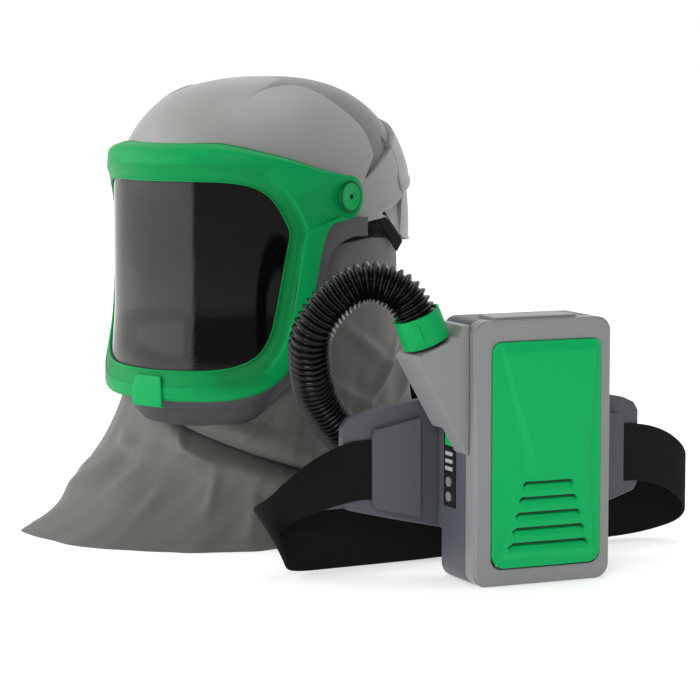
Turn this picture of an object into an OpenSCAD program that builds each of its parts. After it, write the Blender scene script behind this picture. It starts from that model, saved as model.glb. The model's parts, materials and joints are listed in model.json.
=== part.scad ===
// Powered air respirator: loose-fitting helmet with cape, breathing hose, belt-worn blower.
// Millimetres. The helmet faces -Y, Z is up, the wearer's left is +X.

/* [Helmet] */
// half width of the shell
shell_a = 114; // [100:1:125]
// half length of the shell
shell_b = 142; // [125:1:155]
// height of the dome above its widest level
shell_c = 138; // [120:1:150]
// wall of the shell
shell_t = 3; // [2:0.5:5]
// outside radius of the visor frame in plan
visor_r = 123; // [120:1:128]
// thickness of the clear lens
lens_t = 2; // [1:0.2:3]
// height of the visor pivots
pivot_z = 297; // [285:1:310]
// front to back place of the visor pivots
pivot_y = -20; // [-20:1:0]

/* [Hose] */
// outside diameter of the corrugated hose
hose_od = 32; // [28:1:40]
// wall of the hose
hose_t = 2; // [1:0.5:3]

/* [Blower] */
// width of the blower case
bl_w = 121; // [110:1:140]
// height of the blower case
bl_h = 210; // [190:1:230]
// depth of the blower case
bl_d = 58; // [50:1:70]
// wall of the case
bl_t = 3; // [2:0.5:4]
// turn of the blower about the vertical
bl_turn = 64; // [40:1:90]
// clearance round moving parts
gap = 0.5; // [0.3:0.1:1]

/* [Belt] */
// width of the webbing
web_w = 48; // [40:1:55]
// thickness of the webbing
web_t = 1.8; // [1.2:0.1:2]

/* [Hidden] */
$fn = 64;
shift_x = -96.3;
shift_y = 0.66;
dome_y = 8;
dome_z = 262;
plan_y = -18;
fan_z = 118;
fan_x = 6;
spig = [-86, 30, 189];
spig_tilt = -23;

// ---------- placement and drawing helpers ----------
module whole() { translate([shift_x, shift_y, 0]) children(); }
module blower() { whole() translate([345.5, -48.6, 0]) rotate([0, 0, bl_turn]) children(); }
module spigot_axis() { translate(spig) rotate([0, spig_tilt, 0]) children(); }
// a drawing in (y, z) pushed along X
module side_x(x0, x1) {
  translate([x0, 0, 0]) rotate([90, 0, 90]) linear_extrude(x1 - x0) children();
}
// a drawing in (x, z) pushed along Y
module front_y(y0, y1) {
  translate([0, y1, 0]) rotate([90, 0, 0]) linear_extrude(y1 - y0) children();
}
module box2(x0, x1, y0, y1, z0, z1) { translate([x0, y0, z0]) cube([x1 - x0, y1 - y0, z1 - z0]); }
module round_rect(x0, x1, z0, z1, r) {
  translate([x0 + r, z0]) square([x1 - x0 - 2 * r, z1 - z0]);
  translate([x0, z0 + r]) square([x1 - x0, z1 - z0 - 2 * r]);
  for (x = [x0 + r, x1 - r]) for (z = [z0 + r, z1 - r]) translate([x, z]) circle(r);
}
module cyl_x(x0, x1, y, z, r) { translate([x0, y, z]) rotate([0, 90, 0]) cylinder(h = x1 - x0, r = r); }
module cyl_y(y0, y1, x, z, r) { translate([x, y1, z]) rotate([90, 0, 0]) cylinder(h = y1 - y0, r = r); }
// the visor's plan: a half circle at the front with straight sides back to the ears
module u_plan(r, back) {
  translate([0, plan_y]) circle(r = r, $fn = 128);
  translate([-r, plan_y]) square([2 * r, back - plan_y]);
}
module u_band(ro, ri, back) {
  translate([0, 0, 80]) linear_extrude(300) difference() {
    u_plan(ro, back);
    u_plan(ri, back + 30);
    translate([-200, back]) square([400, 300]);
  }
}
// a closed skin between an outer and an inner grid; rows run up, columns run round
module skin(o, i, closed) {
  nr = len(o);
  nc = len(o[0]);
  n = nr * nc;
  pts = concat([for (r = o) for (p = r) p], [for (r = i) for (p = r) p]);
  last = closed ? nc - 1 : nc - 2;
  f1 = [for (r = [0:nr - 2]) for (c = [0:last]) let (d = (c + 1) % nc)
    [r * nc + c, (r + 1) * nc + c, (r + 1) * nc + d]];
  f2 = [for (r = [0:nr - 2]) for (c = [0:last]) let (d = (c + 1) % nc)
    [r * nc + c, (r + 1) * nc + d, r * nc + d]];
  g1 = [for (f = f1) [n + f[2], n + f[1], n + f[0]]];
  g2 = [for (f = f2) [n + f[2], n + f[1], n + f[0]]];
  b1 = [for (c = [0:last]) let (d = (c + 1) % nc) [c, d, n + d]];
  b2 = [for (c = [0:last]) let (d = (c + 1) % nc) [c, n + d, n + c]];
  t = (nr - 1) * nc;
  t1 = [for (c = [0:last]) let (d = (c + 1) % nc) [t + c, n + t + d, t + d]];
  t2 = [for (c = [0:last]) let (d = (c + 1) % nc) [t + c, n + t + c, n + t + d]];
  e = nc - 1;
  s1 = closed ? [] : [for (r = [0:nr - 2]) [r * nc, n + (r + 1) * nc, (r + 1) * nc]];
  s2 = closed ? [] : [for (r = [0:nr - 2]) [r * nc, n + r * nc, n + (r + 1) * nc]];
  s3 = closed ? [] : [for (r = [0:nr - 2]) [r * nc + e, (r + 1) * nc + e, n + (r + 1) * nc + e]];
  s4 = closed ? [] : [for (r = [0:nr - 2]) [r * nc + e, n + (r + 1) * nc + e, n + r * nc + e]];
  polyhedron(points = pts, faces = concat(f1, f2, g1, g2, b1, b2, t1, t2, s1, s2, s3, s4), convexity = 6);
}
// a point of the dome at plan angle f and height z, drawn in by k
function dome_s(z, k) = pow(max(0.0001, 1 - pow(max(0, z - dome_z) / (shell_c - k), 2.5)), 0.4);
function dome_r(f, k) =
  pow(pow(abs(cos(f)) / (shell_a - k), 2.2) + pow(abs(sin(f)) / (shell_b - k), 2.2), -1 / 2.2);
function dome_p(f, z, k) =
  let (r = dome_r(f, k) * dome_s(z, k)) [r * cos(f), dome_y + r * sin(f), z];
// lower edge of the shell against how far back it is
function shell_low(y) = lookup(y, [[-150, 330], [-100, 325], [-62, 318], [-40, 282], [-25, 273],
  [13, 274], [44, 277], [80, 257], [160, 247]]);
// ---------- helmet ----------
module helmet_shell() color([0.52, 0.52, 0.51]) whole() {
  st = [0, 0.12, 0.26, 0.42, 0.58, 0.72, 0.83, 0.91, 0.965, 0.995];
  cols = [for (c = [0:55]) c * 360 / 56];
  skin([for (s = st) [for (f = cols)
      let (l = shell_low(dome_p(f, dome_z, 0)[1])) dome_p(f, l + (399.6 - l) * s, 0)]],
    [for (s = st) [for (f = cols)
      let (l = shell_low(dome_p(f, dome_z, 0)[1])) dome_p(f, l + (399.6 - shell_t - l) * s, shell_t)]],
    true);
  translate([0, dome_y, 395.4]) cylinder(h = 3.6, r = 31);
}
module crown_duct_cover() color([0.56, 0.56, 0.55]) whole() {
  st = [0, 0.15, 0.32, 0.5, 0.68, 0.84, 1];
  cols = [for (c = [0:20]) 18 + c * 7.2];
  skin([for (s = st) [for (f = cols) dome_p(f, 288 + 100 * s, -5)]],
    [for (s = st) [for (f = cols) dome_p(f, 288 + 100 * s, -1.0)]], false);
}
module frame_side() {
  polygon([[-150, 343], [-135, 345], [-118, 344], [-80, 333], [-52, 322.5], [-18, 315], [-20, 279],
    [-35, 276.5], [-46, 267], [-49, 251], [-55, 223], [-72, 167], [-82, 148], [-99, 135.5],
    [-125, 128], [-150, 127]]);
  translate([pivot_y, pivot_z]) circle(18);
}
module window_side() {
  polygon([[-160, 310], [-127, 310.5], [-99, 304], [-86, 294], [-77, 267], [-88, 190],
    [-93, 177], [-111, 158], [-127, 153.5], [-160, 151.5]]);
}
module window_wide(m) {
  polygon([[-160, 310 + m], [-126, 310.5 + m], [-98 + m / 3, 304 + m], [-85 + m, 296 + m],
    [-76 + m, 267], [-87 + m, 190], [-92 + m, 177 - m / 3], [-110 + m / 3, 158 - m],
    [-127, 153.5 - m], [-160, 151.5 - m]]);
}
module visor_frame() color([0.02, 0.62, 0.30]) whole() {
  difference() {
    intersection() {
      u_band(visor_r, visor_r - 4, 20);
      side_x(-200, 200) frame_side();
    }
    side_x(-200, 200) window_side();
    cyl_x(-200, 200, pivot_y, pivot_z, 4.4);
    cyl_x(-119, 119, pivot_y, pivot_z, 21);
  }
  intersection() {
    u_band(visor_r + 3, visor_r - 3, 20);
    box2(-17, 17, -160, -60, 122, 140);
  }
}
module visor_lens() color([0.75, 0.78, 0.8, 0.4]) whole() intersection() {
  u_band(visor_r - 6, visor_r - 6 - lens_t, 0);
  side_x(-200, 200) window_wide(6);
}
module lens_gasket() color([0.12, 0.12, 0.12]) whole() difference() {
  intersection() {
    u_band(visor_r - 4.2, visor_r - 5.8, 0);
    side_x(-200, 200) window_wide(6);
  }
  side_x(-200, 200) window_wide(1);
}
module face_frame() color([0.24, 0.25, 0.26]) whole() difference() {
  intersection() {
    u_band(visor_r - 4.8, visor_r - 8, 22);
    side_x(-200, 200) polygon(concat([[10, 279], [10, 262], [-12, 262], [-34, 254], [-40, 244], [-46, 218],
      [-63, 158], [-80, 132], [-96, 113], [-110, 106], [-160, 103], [-160, 139], [-122, 140], [-101, 148],
      [-84, 167], [-78, 186], [-67, 255], [-62, 276], [-46, 286]],
      [for (t = [170:-20:-50]) [pivot_y + 17 * cos(t), pivot_z + 17 * sin(t)]]));
  }
  cyl_x(-200, 200, pivot_y, pivot_z, 4.1);
  box2(-16, 16, -160, -60, 108, 111);
}
module face_seal() color([0.1, 0.1, 0.1]) whole() intersection() {
  u_band(visor_r - 8.3, visor_r - 10.3, 0);
  side_x(-200, 200) polygon([[-60, 258], [-64, 250], [-78, 176], [-92, 158], [-112, 142],
    [-160, 138], [-160, 130], [-112, 132], [-86, 150], [-70, 172], [-56, 240], [-52, 258]]);
}
module pivot_cap(s) {
  difference() {
    union() {
      cyl_x(s > 0 ? visor_r + 0.4 : -visor_r - 3.4, s > 0 ? visor_r + 3.4 : -visor_r - 0.4,
        pivot_y, pivot_z, 11);
      cyl_x(s > 0 ? visor_r - 3.6 : -visor_r - 0.6, s > 0 ? visor_r + 0.6 : -visor_r + 3.6,
        pivot_y, pivot_z, 4.3);
    }
    cyl_x(-200, 200, pivot_y, pivot_z, 2.2);
    box2(s > 0 ? visor_r + 2.4 : -200, s > 0 ? 200 : -visor_r - 2.4, pivot_y - 1, pivot_y + 1,
      pivot_z - 11.5, pivot_z - 7);
  }
}
module pivot_cap_left() color([0.02, 0.58, 0.28]) whole() pivot_cap(1);
module pivot_cap_right() color([0.02, 0.58, 0.28]) whole() pivot_cap(-1);
module pivot_pins() color([0.7, 0.7, 0.72]) whole() for (s = [-1, 1]) {
  cyl_x(s > 0 ? 114.4 : -visor_r - 1.5, s > 0 ? visor_r + 1.5 : -114.4, pivot_y, pivot_z, 2.1);
  cyl_x(s > 0 ? 114.4 : -118.2, s > 0 ? 118.2 : -114.4, pivot_y, pivot_z, 4.1);
}
module pivot_washers() color([0.8, 0.8, 0.78]) whole() for (s = [-1, 1]) difference() {
  cyl_x(s > 0 ? 118.3 : -118.9, s > 0 ? 118.9 : -118.3, pivot_y, pivot_z, 9);
  cyl_x(-200, 200, pivot_y, pivot_z, 2.3);
}
// cape: hangs from the chin frame at the front and from inside the shell at the back
function cape_top(f) = let (y = 110 * sin(f)) lookup(y, [[-112, 122], [-95, 126], [-80, 140],
  [-64, 168], [-48, 216], [-38, 250], [-20, 256], [20, 260], [110, 252]]);
function cape_neck(f) = lookup(abs(f) > 90 ? sign(f + 0.001) * 180 - f : f, [[-90, 124], [-60, 118],
  [-45, 112], [-30, 109], [0, 108], [22, 113], [42, 121], [60, 119], [75, 112], [90, 109]]);
function cape_rim(f) = lookup(f, [[-180, 178], [-160, 184], [-145, 196], [-132, 208], [-116, 184],
  [-99, 166], [-78, 144], [-55, 122], [-41, 112], [0, 116], [45, 150], [90, 178], [135, 188],
  [180, 178]]);
function cape_p(f, s, k) = let (n = cape_neck(f) - k, q = cape_rim(f) - k,
  m = pow(s, 1.7), r = n + (q - n) * m) [r * cos(f), r * sin(f) + 4 * (1 - m), cape_top(f) * (1 - s)];
module cape_panel(a, b) {
  cols = [for (c = [0:(b - a) / 7.5]) a + 0.08 + c * (b - a - 0.16) / ((b - a) / 7.5)];
  st = [1, 0.88, 0.75, 0.6, 0.45, 0.3, 0.15, 0];
  skin([for (s = st) [for (f = cols) cape_p(cape_turn(f), s, 0)]],
    [for (s = st) [for (f = cols) cape_p(cape_turn(f), s, 2)]], false);
}
function cape_turn(f) = f > 180 ? f - 360 : f;
module cape_front() color([0.36, 0.35, 0.33]) whole() cape_panel(-150, -30);
module cape_left() color([0.37, 0.36, 0.34]) whole() cape_panel(-30, 90);
module cape_right() color([0.35, 0.34, 0.32]) whole() cape_panel(90, 210);
module nape_strap() color([0.07, 0.07, 0.07]) whole() {
  box2(-9, 9, 151.6, 153.2, 232, 262);
  box2(-9, 9, 150.2, 153.2, 258, 262);
}
module neck_collar() color([0.2, 0.2, 0.2]) whole() translate([0, 6, 150]) difference() {
  cylinder(h = 26, r = 84);
  translate([0, 0, -1]) cylinder(h = 28, r = 82);
}
module band(r, t) difference() {
  union() {
    for (y = [-14, 14]) translate([0, y]) circle(r);
    translate([-r, -14]) square([2 * r, 28]);
  }
  for (y = [-14, 14]) translate([0, y]) circle(r - t);
  translate([t - r, -14]) square([2 * (r - t), 28]);
}
module headband() color([0.12, 0.12, 0.13]) whole() translate([0, 4, 284]) linear_extrude(22) band(82, 2);
module crown_straps() color([0.1, 0.1, 0.11]) whole() {
  front_y(-5, 13) difference() {
    translate([0, 287]) circle(84);
    translate([0, 287]) circle(82.4);
    translate([-90, 190]) square([180, 116.3]);
  }
  side_x(-9, 9) difference() {
    translate([4, 280]) circle(97);
    translate([4, 280]) circle(95.4);
    translate([-100, 180]) square([220, 126.3]);
  }
}
module brow_pad() color([0.2, 0.2, 0.22]) whole() translate([0, -10, 286])
  rotate([0, 0, 225]) rotate_extrude(angle = 90) translate([74, 0]) square([5.8, 18]);
module suspension_clips() color([0.1, 0.1, 0.1]) whole() {
  for (s = [-1, 1]) {
    box2(s > 0 ? 82.2 : -107.5, s > 0 ? 107.5 : -82.2, -16, -2, 288, 300);
    box2(s > 0 ? 82.2 : -105.5, s > 0 ? 105.5 : -82.2, 14, 28, 288, 300);
  }
}
module ratchet_housing() color([0.14, 0.14, 0.15]) whole() difference() {
  box2(-30, 30, 100.4, 112, 273, 303);
  box2(-27, 27, 103, 109.5, 276, 300);
  cyl_y(100, 113, 0, 288, 4.2);
}
module ratchet_knob() color([0.1, 0.1, 0.11]) whole() {
  cyl_y(112.4, 116.4, 0, 288, 14);
  for (a = [0:20:340]) translate([0, 112.6, 288]) rotate([0, a, 0]) translate([13.5, 0, -1]) cube([1.6,
    3.6, 2]);
}
module ratchet_pinion() color([0.8, 0.8, 0.78]) whole() {
  cyl_y(101, 112.4, 0, 288, 4.1);
  cyl_y(104, 108.5, 0, 288, 7);
}
module air_channel() color([0.16, 0.17, 0.18]) whole() translate([0, dome_y, dome_z])
  rotate([90, 0, 90]) difference() {
    rotate_extrude(angle = 136) translate([117, -22]) square([11, 44]);
    rotate([0, 0, -1]) rotate_extrude(angle = 138) translate([118.5, -20.5]) square([8, 41]);
  }
module inlet_socket() color([0.16, 0.17, 0.18]) whole() translate([0, 131, 253]) rotate([14, 0, 0])
  difference() {
    translate([0, 0, -44]) cylinder(h = 48, r = 13);
    translate([0, 0, -45]) cylinder(h = 50, r = 11);
  }
module helmet_cuff() color([0.06, 0.06, 0.06]) whole() translate([0, 131, 253]) rotate([14, 0, 0])
  difference() {
    translate([0, 0, -52]) cylinder(h = 24, r = 18.4);
    translate([0, 0, -53]) cylinder(h = 26, r = 16.6);
  }
// ---------- hose ----------
function bw(p) = [345.5 + p[0] * cos(bl_turn) - p[1] * sin(bl_turn),
  -48.6 + p[0] * sin(bl_turn) + p[1] * cos(bl_turn), p[2]];
hose_route = concat(
  [for (p = [[-87.6, 30, 192.7], [-96.5, 30, 213.9], [-110, 35, 233], [-133, 45, 240], [-156, 55, 226],
    [-170, 66, 199], [-165, 81, 170], [-150, 101, 143], [-121, 121, 112], [-87, 134, 86],
    [-50, 140, 70], [-10, 165, 50]]) bw(p)],
  [[190, 65, 30], [176, 125, 19], [140, 172, 18.5], [95, 205, 30], [50, 208, 60], [20, 190, 98],
    [8, 172, 135], [2, 156, 172], [0, 143.4, 203.4], [0, 137.8, 225.8]]);
function unit(v) = v / norm(v);
function spline(p, i, t) = let (a = p[max(0, i - 1)], b = p[i], c = p[i + 1], d = p[min(len(p) - 1, i + 2)])
  0.5 * (2 * b + (c - a) * t + (2 * a - 5 * b + 4 * c - d) * t * t + (3 * b - a - 3 * c + d) * t * t * t);
function smooth(p, m) = concat([for (i = [0:len(p) - 2]) for (j = [0:m - 1]) spline(p, i, j / m)],
  [p[len(p) - 1]]);
function tangents(p) = [for (i = [0:len(p) - 1]) unit(p[min(len(p) - 1, i + 1)] - p[max(0, i - 1)])];
function carry(t, i, n) = let (m = unit(n - t[i] * (n * t[i])))
  i == len(t) - 1 ? [m] : concat([m], carry(t, i + 1, m));
function rings(p, r, sides) = let (t = tangents(p), n = carry(t, 0, [0.9, -0.44, 0]))
  [for (i = [0:len(p) - 1]) let (b = cross(t[i], n[i]))
    [for (k = [0:sides - 1]) p[i] + r * (cos(k * 360 / sides) * n[i] + sin(k * 360 / sides) * b)]];
module breathing_hose() color([0.04, 0.04, 0.04]) whole() {
  path = smooth(hose_route, 3);
  skin(rings(path, hose_od / 2, 14), rings(path, hose_od / 2 - hose_t, 14), true);
}
module hose_collar() color([0.05, 0.66, 0.24]) blower() spigot_axis() {
  difference() {
    translate([0, 0, 4.5]) cylinder(h = 24, r = 18.8);
    cylinder(h = 40, r = hose_od / 2 + 0.6);
  }
  for (a = [0:120:240]) rotate([0, 0, a]) translate([18.3, -1.5, 8]) cube([1.6, 3, 16]);
}
module hose_inner_cuff() color([0.1, 0.1, 0.1]) blower() spigot_axis() difference() {
  translate([0, 0, 5]) cylinder(h = 16, r = hose_od / 2 - hose_t - 0.9);
  cylinder(h = 40, r = 12.35);
}
module outlet_duct() color([0.62, 0.62, 0.61]) blower() difference() {
  front_y(9, 50) polygon([[-105, 180], [-103, 184], [-70, 197], [-66, 206], [-60.8, 207], [-60.8, 104],
    [-63, 106]]);
  front_y(12, 47) polygon([[-101, 180], [-72, 192], [-64, 203], [-57, 203], [-57, 112], [-64, 114]]);
  box2(-110, -50, 31, 60, 90, 124);
  spigot_axis() translate([0, 0, -10]) cylinder(h = 30, r = 12.4);
}
module outlet_spigot() color([0.16, 0.17, 0.18]) blower() spigot_axis() {
  difference() {
    translate([0, 0, -6]) cylinder(h = 26, r = 12.2);
    translate([0, 0, -7]) cylinder(h = 30, r = 10.2);
  }
}
// ---------- blower ----------
module case_plan(m) round_rect(-bl_w / 2 + m, bl_w / 2 - m, m, bl_h - m, 12 - m * 0.6);
module rear_housing() color([0.45, 0.46, 0.48]) blower() difference() {
  front_y(16, bl_d) case_plan(0);
  front_y(15, bl_d - bl_t) case_plan(bl_t);
  box2(-bl_w / 2 - 1, -bl_w / 2 + bl_t + 1, 26, 44, 136, 166);
  box2(-bl_w / 2 - 1, -bl_w / 2 + bl_t + 1, 32.5, 53.5, 58.5, 121.5);
  box2(bl_w / 2 - bl_t - 1, bl_w / 2 + 1, 21.5, 54.4, 12.5, 48.5);
  box2(-42, 32, 15, 34, bl_h - bl_t - 1, bl_h + 1);
  for (x = [-50, 50]) for (z = [14, 196]) {
    cyl_y(40, 60, x, z, 1.7);
    cyl_y(bl_d - 1.6, bl_d + 1, x, z, 3.2);
  }
}
module front_bezel() color([0.58, 0.58, 0.57]) blower() difference() {
  union() {
    front_y(2, 15.8) case_plan(0);
    front_y(0, 2) case_plan(1.6);
  }
  front_y(3.5, 17) case_plan(bl_t);
  front_y(-1, 17) round_rect(-45.5, 51, 13.5, 193.5, 9);
  box2(-42, 32, 5, 17, bl_h - bl_t - 1, bl_h + 1);
}
module filter_door() color([0.02, 0.62, 0.30]) blower() difference() {
  union() {
    front_y(-1.5, 2) round_rect(-44.5, 50, 18, 192.5, 8);
    front_y(-4.4, -1.5) polygon([[-37, 186], [-17, 100], [-17, 88], [-38, 26], [44, 26], [39, 98], [46,
      187]]);
    box2(-30, 36, -1.2, 2, 16.4, 18);
  }
  for (i = [0:4]) front_y(-5, 3) translate([3, 81 - 12 * i])
    polygon([[-21 - 3.5 * i, 1.8], [-23 - 3.5 * i, -1.8], [23 + 3.5 * i, -1.8], [21 + 3.5 * i, 1.8]]);
  cyl_x(-31, 37, 0.4, 17.2, 0.85);
}
module door_hinge_pin() color([0.7, 0.7, 0.72]) blower() {
  cyl_x(-42, 48, 0.4, 17.2, 0.8);
}
module door_latch() color([0.42, 0.43, 0.45]) blower() {
  box2(-41, 31, 5.5, 33, bl_h - bl_t - 0.5, bl_h + 2.4);
  box2(-36, 14, 14, 30, bl_h - 6, bl_h - bl_t - 0.5);
}
module filter_gasket() color([0.08, 0.08, 0.08]) blower() difference() {
  front_y(4.2, 6.2) round_rect(-49, 54, 50.5, 202, 6);
  front_y(3, 8) round_rect(-44, 49, 55.5, 197, 5);
}
module filter_cartridge() color([0.86, 0.86, 0.82]) blower() {
  difference() {
    front_y(6.6, 25) round_rect(-48, 53, 51.5, 201, 5);
    front_y(5, 26) round_rect(-45.5, 50.5, 54, 198.5, 4);
  }
  for (i = [0:17]) box2(-45.6, 50.6, 8 + (i % 2), 23.6, 56 + 8 * i, 59 + 8 * i);
}
module pre_filter() color([0.93, 0.93, 0.9]) blower() front_y(2.6, 4) round_rect(-43, 48, 56.5, 191, 4);
module fan_volute() color([0.2, 0.21, 0.22]) blower() {
  difference() {
    union() {
      cyl_y(28, 48, fan_x, fan_z, 46);
      box2(-56.5, fan_x, 28, 42, 138, 164);
    }
    cyl_y(30, 46, fan_x, fan_z, 43.5);
    box2(-57, fan_x, 30, 40, 140, 161.5);
    cyl_y(27, 31, fan_x, fan_z, 20);
    cyl_y(40, 49, fan_x, fan_z, 2.6);
  }
}
module impeller() color([0.75, 0.76, 0.78]) blower() difference() {
  union() {
    cyl_y(42, 44, fan_x, fan_z, 37);
    cyl_y(33, 42, fan_x, fan_z, 9);
    for (a = [0:20:340]) translate([fan_x, 32, fan_z]) rotate([0, a, 0]) translate([22, 0, -0.8])
      cube([14.5, 10.2, 1.6]);
  }
  cyl_y(30, 50, fan_x, fan_z, 2);
}
module motor() color([0.3, 0.31, 0.33]) blower() difference() {
  cyl_y(48.2, 54.8, fan_x, fan_z, 17);
  cyl_y(47, 54, fan_x, fan_z, 2.06);
}
module motor_shaft() color([0.75, 0.75, 0.77]) blower() cyl_y(31, 53.5, fan_x, fan_z, 2);
module circuit_board() color([0.05, 0.3, 0.12]) blower() {
  box2(-50, 40, 50.5, 52, 168, 190);
  box2(-30, -16, 47.5, 50.5, 172, 184);
  box2(4, 20, 48.5, 50.5, 174, 182);
}
module alarm_buzzer() color([0.08, 0.08, 0.08]) blower() cyl_y(46, 52, 48.5, 178, 6.5);
module battery_pack() color([0.07, 0.07, 0.08]) blower() {
  box2(-46, 57, 22, 54, 13, 48);
  box2(57, 60.5, 22, 54, 13, 40);
}
module battery_latch() color([0.5, 0.1, 0.08]) blower() box2(57.3, 60.3, 28, 48, 42, 47.5);
module status_display() color([0.05, 0.06, 0.06]) blower() difference() {
  box2(-bl_w / 2 - 0.8, -bl_w / 2 + 2.6, 33, 53, 59, 121);
  for (z = [67, 79]) cyl_x(-70, -50, 43, z, 4.08);
}
module power_button() color([0.6, 0.6, 0.6]) blower() cyl_x(-62.4, -58.4, 43, 67, 4);
module speed_button() color([0.6, 0.6, 0.6]) blower() cyl_x(-62.4, -58.4, 43, 79, 4);
module housing_screws() color([0.7, 0.7, 0.72]) blower() for (x = [-50, 50]) for (z = [14, 196]) {
  cyl_y(bl_d - 1.4, bl_d - 0.2, x, z, 3);
  cyl_y(bl_d - 2.8, bl_d - 1.4, x, z, 1.5);
}
// ---------- belt ----------
module back_plate() color([0.2, 0.21, 0.23]) blower() front_y(58.2, 66.6) round_rect(-60, 60, 36, 144, 8);
module arc_band(ro, ri) translate([0, 486, 0]) linear_extrude(220) difference() {
  circle(r = ro, $fn = 200);
  circle(r = ri, $fn = 200);
}
module hip_pad(s) intersection() {
  arc_band(422, 414);
  front_y(40, 120) polygon([for (p = [[-56, 143], [-76, 142], [-118, 133], [-130, 128], [-135, 121],
    [-135, 60],
    [-131, 54], [-100, 47], [-56, 38]]) [-s * p[0], p[1]]]);
}
module strap_guide(s) {
  intersection() {
    arc_band(428.5, 425.4);
    front_y(40, 120) polygon([for (p = [[-76, 128], [-112, 119], [-114, 112], [-114, 62], [-112, 56],
      [-76, 48]]) [-s * p[0], p[1]]]);
  }
  intersection() {
    arc_band(426, 422.3);
    union() {
      front_y(40, 120) polygon([for (p = [[-78, 127], [-110, 118], [-110, 113], [-78,
        113]]) [-s * p[0], p[1]]]);
      front_y(40, 120) polygon([for (p = [[-78, 50], [-110, 57], [-110, 61], [-78, 61]]) [-s * p[0],
        p[1]]]);
    }
  }
}
module hip_pad_left() color([0.22, 0.23, 0.26]) blower() hip_pad(-1);
module hip_pad_right() color([0.22, 0.23, 0.26]) blower() hip_pad(1);
module strap_guide_left() color([0.26, 0.27, 0.3]) blower() strap_guide(-1);
module strap_guide_right() color([0.26, 0.27, 0.3]) blower() strap_guide(1);
// belt stations: X, Y, middle height, outward lean of the upper edge
web_left = [[-84, 70.8, 87, 0], [-112, 77.5, 87, 0], [-130, 82.6, 85, 0], [-150, 88, 78, 10],
  [-170, 92.5, 68, 23], [-183, 96, 57, 30], [-189, 101, 43, 35], [-187, 108, 33, 33], [-176, 114, 28, 22],
  [-157, 118, 25.6, 10], [-130, 120, 25.2, 3], [-90, 122, 25.2, 0], [-50, 125, 25.3, 0], [-26, 128, 25.5, 0]];
web_right = [[84, 70.8, 87, 0], [112, 77.5, 87, 0], [130, 82.8, 86, 0], [150, 88.5, 82, 0], [170, 95, 74, 0],
  [188, 104, 62, 0], [198, 116, 50, 0], [198, 130, 40, 0], [188, 142, 33, 0], [165, 148, 28, 0],
  [130, 146, 26.5, 0], [90, 140, 25.5, 0], [60, 135, 25.5, 0], [44, 132, 25.5, 0]];
module ribbon(pts) {
  p = smooth(pts, 3);
  q = [for (a = p) [a[0], a[1], a[2]]];
  n = [for (i = [0:len(q) - 1]) let (t = q[min(len(q) - 1, i + 1)] - q[max(0, i - 1)])
    unit([t[1], -t[0], 0])];
  up = [for (i = [0:len(q) - 1]) (web_w / 2) * (-n[i] * sin(p[i][3]) + [0, 0, cos(p[i][3])])];
  out = [for (i = [0:len(q) - 1]) (web_t / 2) * (n[i] * cos(p[i][3]) + [0, 0, sin(p[i][3])])];
  skin([for (i = [0:len(q) - 1]) [q[i] - out[i] - up[i], q[i] - out[i] + up[i]]],
    [for (i = [0:len(q) - 1]) [q[i] + out[i] - up[i], q[i] + out[i] + up[i]]], false);
}
module belt_webbing() color([0.03, 0.03, 0.03]) blower() {
  ribbon(web_left);
  ribbon(web_right);
}
module buckle_socket() color([0.06, 0.06, 0.07]) blower() difference() {
  box2(-22, 10, 124, 136, 0.5, 51);
  box2(-18, 11, 127, 133, 4, 47.5);
}
module buckle_plug() color([0.08, 0.08, 0.09]) blower() {
  box2(12, 40, 126, 138, 0.5, 51);
  box2(-12, 12, 128.2, 131.8, 9, 14);
  box2(-12, 12, 128.2, 131.8, 38, 43);
  box2(-8, 12, 128.2, 131.8, 22, 30);
}
module strap_adjuster() color([0.07, 0.07, 0.08]) blower() difference() {
  box2(92, 104, 137.8, 145.8, 0, 53.5);
  box2(91, 105, 139.4, 144.4, 0.9, 50.6);
}
helmet_shell();
crown_duct_cover();
visor_frame();
visor_lens();
lens_gasket();
face_frame();
face_seal();
pivot_cap_left();
pivot_cap_right();
pivot_pins();
pivot_washers();
cape_front();
cape_left();
cape_right();
nape_strap();
neck_collar();
headband();
crown_straps();
brow_pad();
suspension_clips();
ratchet_housing();
ratchet_knob();
ratchet_pinion();
air_channel();
inlet_socket();
helmet_cuff();
breathing_hose();
hose_collar();
hose_inner_cuff();
outlet_duct();
outlet_spigot();
rear_housing();
front_bezel();
filter_door();
door_hinge_pin();
door_latch();
filter_gasket();
filter_cartridge();
pre_filter();
fan_volute();
impeller();
motor();
motor_shaft();
circuit_board();
alarm_buzzer();
battery_pack();
battery_latch();
status_display();
power_button();
speed_button();
housing_screws();
back_plate();
hip_pad_left();
hip_pad_right();
strap_guide_left();
strap_guide_right();
belt_webbing();
buckle_socket();
buckle_plug();
strap_adjuster();
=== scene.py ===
"""Powered air respirator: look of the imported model. Lengths in the tables are millimetres."""
import json
import math

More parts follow.
